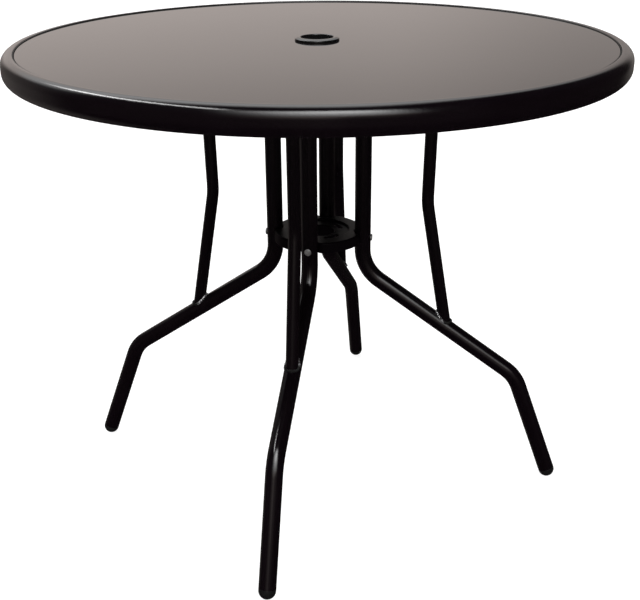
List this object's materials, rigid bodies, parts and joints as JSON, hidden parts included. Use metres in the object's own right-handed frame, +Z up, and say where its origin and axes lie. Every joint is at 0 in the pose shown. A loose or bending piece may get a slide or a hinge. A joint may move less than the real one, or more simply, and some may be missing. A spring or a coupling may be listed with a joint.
{
  "type": "umbrella table",
  "caption": "Round patio table with a dark glass top in a steel rim, an umbrella hole, and bent tube legs with struts, bolted round a hub.",
  "frame": {"origin": "on the floor, under the middle of the table top", "axes": "+Z up; one leg points along each of -X (left), -Y (front), +X (right) and +Y (back)"},
  "size_m": [0.9, 0.9, 0.7128],
  "materials": {
    "powder_coat": "black semi-gloss powder coat on steel",
    "tinted_glass": "tempered glass, dark grey, printed or tinted, polished",
    "seal_rubber": "matt black extruded rubber",
    "gloss_plastic": "black moulded plastic, glossy",
    "nut_plastic": "black moulded plastic, matt",
    "cap_plastic": "black moulded plastic, satin",
    "zinc_plate": "bright zinc plate"
  },
  "bodies": {
    "root": {"rim_ring": "powder_coat", "glass_seal": "seal_rubber", "glass_top": "tinted_glass", "umbrella_grommet": "gloss_plastic", "grommet_nut": "nut_plastic", "centre_ring": "powder_coat", "hub_plate": "powder_coat", "cross_bar_left": "powder_coat", "leg_left": "powder_coat", "foot_cap_left": "cap_plastic", "strut_left": "powder_coat", "strut_weld_left": "powder_coat", "hub_bolt_left": "zinc_plate", "hub_nut_left": "zinc_plate", "leg_top_plug_left": "zinc_plate", "strut_top_plug_left": "zinc_plate", "leg_top_bolt_left": "zinc_plate", "strut_top_bolt_left": "zinc_plate", "cross_bar_front": "powder_coat", "leg_front": "powder_coat", "foot_cap_front": "cap_plastic", "strut_front": "powder_coat", "strut_weld_front": "powder_coat", "hub_bolt_front": "zinc_plate", "hub_nut_front": "zinc_plate", "leg_top_plug_front": "zinc_plate", "strut_top_plug_front": "zinc_plate", "leg_top_bolt_front": "zinc_plate", "strut_top_bolt_front": "zinc_plate", "cross_bar_right": "powder_coat", "leg_right": "powder_coat", "foot_cap_right": "cap_plastic", "strut_right": "powder_coat", "strut_weld_right": "powder_coat", "hub_bolt_right": "zinc_plate", "hub_nut_right": "zinc_plate", "leg_top_plug_right": "zinc_plate", "strut_top_plug_right": "zinc_plate", "leg_top_bolt_right": "zinc_plate", "strut_top_bolt_right": "zinc_plate", "cross_bar_back": "powder_coat", "leg_back": "powder_coat", "foot_cap_back": "cap_plastic", "strut_back": "powder_coat", "strut_weld_back": "powder_coat", "hub_bolt_back": "zinc_plate", "hub_nut_back": "zinc_plate", "leg_top_plug_back": "zinc_plate", "strut_top_plug_back": "zinc_plate", "leg_top_bolt_back": "zinc_plate", "strut_top_bolt_back": "zinc_plate"}
  },
  "joints": []
}
